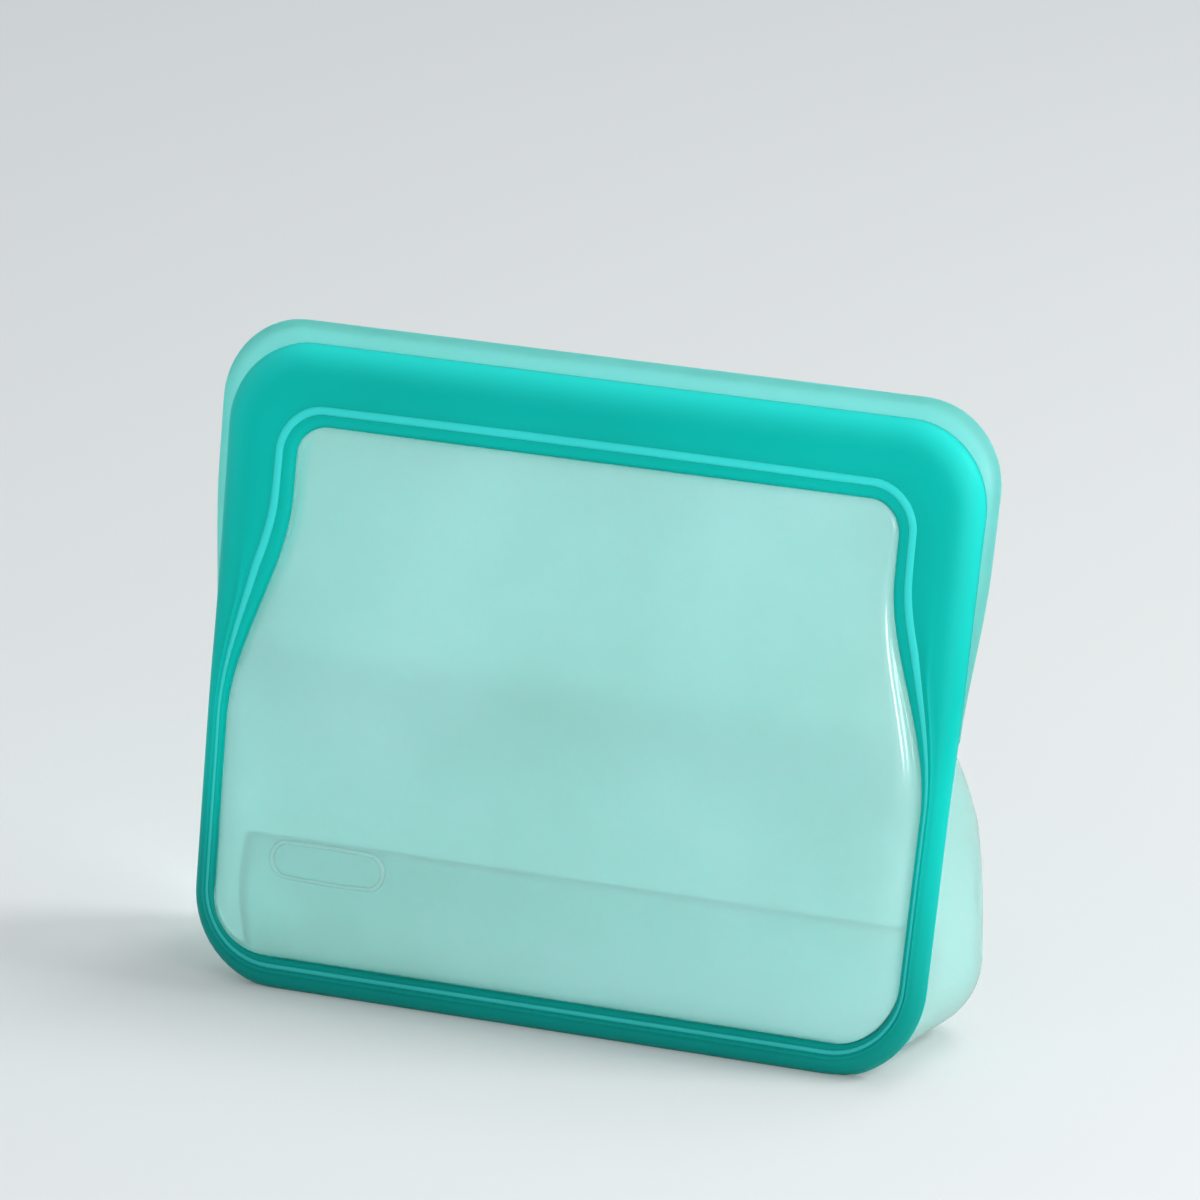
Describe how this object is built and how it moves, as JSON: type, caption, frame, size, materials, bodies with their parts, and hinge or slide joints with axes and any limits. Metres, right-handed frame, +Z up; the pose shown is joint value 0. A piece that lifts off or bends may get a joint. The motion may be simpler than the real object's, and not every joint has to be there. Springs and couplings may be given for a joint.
{
  "type": "reusable silicone bag",
  "caption": "Stand-up silicone food bag with a thick frame, a thin window, a pinch seal and a base that folds flat.",
  "frame": {"origin": "on the table under the middle of the bag's box", "axes": "+X to the right along the bag's width, +Y to the back, +Z up"},
  "size_m": [0.2054, 0.0512, 0.1592],
  "materials": {
    "frame_silicone": "satin translucent silicone",
    "clear_silicone": "satin translucent silicone"
  },
  "bodies": {
    "bag_body": {"front_frame": "frame_silicone", "rear_frame": "frame_silicone", "left_side_weld": "frame_silicone", "right_side_weld": "frame_silicone", "seal_channel_upper_rail": "frame_silicone", "seal_channel_lower_rail": "frame_silicone", "left_seal_end_stop": "frame_silicone", "right_seal_end_stop": "frame_silicone", "rear_window_upper": "clear_silicone", "left_side_web": "clear_silicone", "right_side_web": "clear_silicone"},
    "front_panel": {"front_window": "clear_silicone", "front_seal_band": "frame_silicone", "front_seal_rib": "frame_silicone", "front_blank_pad": "clear_silicone"},
    "rear_foot": {"rear_lower_wall": "clear_silicone", "rear_base_hem": "clear_silicone"},
    "front_floor": {"floor_front_half": "clear_silicone"},
    "rear_floor": {"floor_rear_half": "clear_silicone"}
  },
  "joints": [
    {"name": "mouth_open", "type": "hinge", "parent": "bag_body", "child": "front_panel", "pos_m": [0, -0.0252, 0], "axis": [1, 0, 0], "range_deg": [0, 13]},
    {"name": "base_fold", "type": "hinge", "parent": "bag_body", "child": "rear_foot", "pos_m": [0, 0.00649, 0.07871], "axis": [1, 0, 0], "range_deg": [-24, 10], "deforming": ["left_side_web", "right_side_web"]},
    {"name": "front_floor_fold", "type": "hinge", "parent": "bag_body", "child": "front_floor", "pos_m": [0, -0.01751, 0.00492], "axis": [1, 0, 0], "range_deg": [-9.5, 22]},
    {"name": "rear_floor_fold", "type": "hinge", "parent": "rear_foot", "child": "rear_floor", "pos_m": [0, 0.01876, 0.00223], "axis": [1, 0, 0], "range_deg": [-18.5, 8]}
  ],
  "couplings": [
    {"joint": "front_floor_fold", "follows": "base_fold", "ratio": -0.9},
    {"joint": "rear_floor_fold", "follows": "base_fold", "ratio": 0.76}
  ]
}
